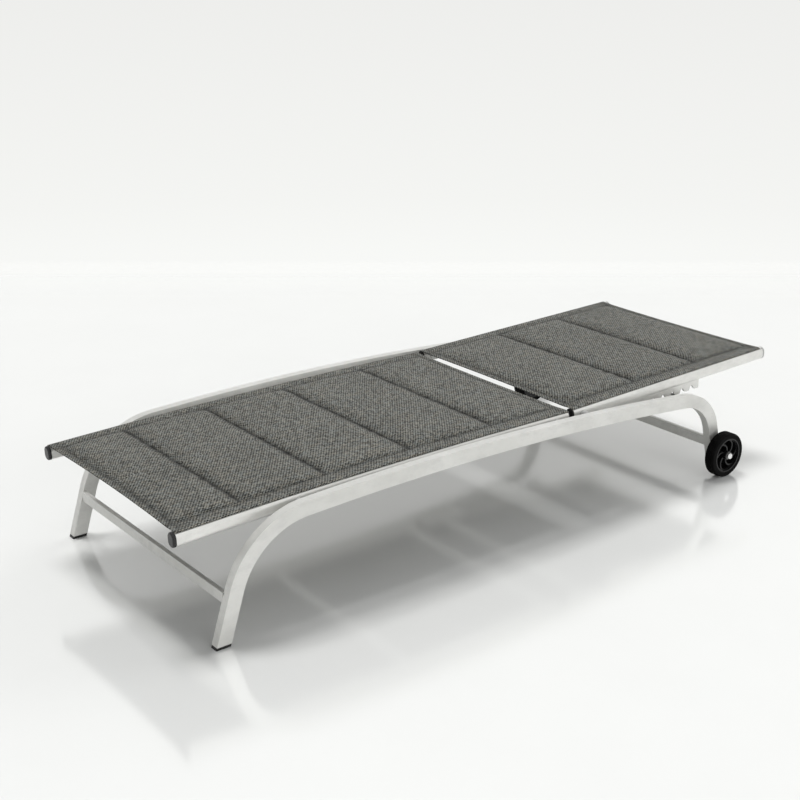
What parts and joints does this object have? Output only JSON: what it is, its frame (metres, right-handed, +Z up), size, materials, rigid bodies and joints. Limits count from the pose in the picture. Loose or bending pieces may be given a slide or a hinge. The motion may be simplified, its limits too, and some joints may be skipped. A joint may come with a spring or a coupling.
{
  "type": "reclining sun lounger",
  "caption": "Low reclining sun lounger with arched metal side frames, padded sling seat and backrest, a notched support rack and rear transport wheels.",
  "frame": {"origin": "middle of the bounding box, on the floor", "axes": "+Z up, +X from the foot end to the head end, +Y to the left"},
  "size_m": [1.8617, 0.8066, 0.3006],
  "materials": {
    "frame_aluminium": "satin silver-grey coat",
    "rail_aluminium": "satin silver-grey coat",
    "sling_fabric": "two-tone grey woven, padded and quilted",
    "dark_grey_plastic": "moulded",
    "grey_plastic": "moulded",
    "black_plastic": "moulded",
    "spline_plastic": "extruded",
    "tyre": "matt black",
    "hub_plastic": "moulded, slightly glossy",
    "bright_cap": "polished",
    "steel": "zinc plated"
  },
  "bodies": {
    "frame": {"side_frame_right": "frame_aluminium", "side_frame_left": "frame_aluminium", "front_crossbar": "frame_aluminium", "rear_crossbar": "frame_aluminium", "foot_pad_right": "black_plastic", "foot_pad_left": "black_plastic", "rear_leg_plug_right": "black_plastic", "rear_leg_plug_left": "black_plastic", "seat_rail_right": "rail_aluminium", "seat_rail_left": "rail_aluminium", "seat_foot_cap_right": "dark_grey_plastic", "seat_foot_cap_left": "dark_grey_plastic", "seat_rear_cap_right": "black_plastic", "seat_rear_cap_left": "black_plastic", "seat_spreader_front": "rail_aluminium", "seat_spreader_middle": "rail_aluminium", "seat_spreader_rear": "rail_aluminium", "seat_sling": "sling_fabric", "seat_spline_right": "spline_plastic", "seat_spline_left": "spline_plastic", "seat_bolts": "steel", "seat_spacers": "black_plastic", "frame_inserts": "steel", "hinge_bolts": "steel", "hinge_spacers": "black_plastic", "bail_pivot_bolts": "steel", "bail_pivot_spacers": "black_plastic", "axle_bolt_right": "steel", "axle_bolt_left": "steel", "axle_spacers": "black_plastic", "axle_nuts": "steel", "axle_washers": "steel", "axle_caps": "bright_cap"},
    "backrest": {"back_rail_right": "rail_aluminium", "back_rail_left": "rail_aluminium", "head_cap_right": "grey_plastic", "head_cap_left": "grey_plastic", "back_hinge_cap_right": "black_plastic", "back_hinge_cap_left": "black_plastic", "back_spreader_lower": "rail_aluminium", "back_spreader_head": "rail_aluminium", "rack_right": "rail_aluminium", "rack_left": "rail_aluminium", "back_sling": "sling_fabric", "back_spline_right": "spline_plastic", "back_spline_left": "spline_plastic"},
    "support_bail": {"support_bail": "steel"},
    "wheel_right": {"hub_right": "hub_plastic", "tyre_right": "tyre"},
    "wheel_left": {"hub_left": "hub_plastic", "tyre_left": "tyre"}
  },
  "joints": [
    {"name": "back_recline", "type": "hinge", "parent": "frame", "child": "backrest", "pos_m": [0.22, 0, 0.265], "axis": [0, -1, 0], "range_deg": [0, 65]},
    {"name": "bail_swing", "type": "hinge", "parent": "frame", "child": "support_bail", "pos_m": [0.37, 0, 0.2465], "axis": [0, -1, 0], "range_deg": [0, 97.5]},
    {"name": "wheel_right_spin", "type": "hinge", "parent": "frame", "child": "wheel_right", "pos_m": [0.6964, -0.3783, 0.061], "axis": [0, 1, 0], "continuous": true},
    {"name": "wheel_left_spin", "type": "hinge", "parent": "frame", "child": "wheel_left", "pos_m": [0.6964, 0.3783, 0.061], "axis": [0, 1, 0], "continuous": true}
  ],
  "couplings": [
    {"joint": "bail_swing", "follows": "back_recline", "ratio": 1.5}
  ]
}
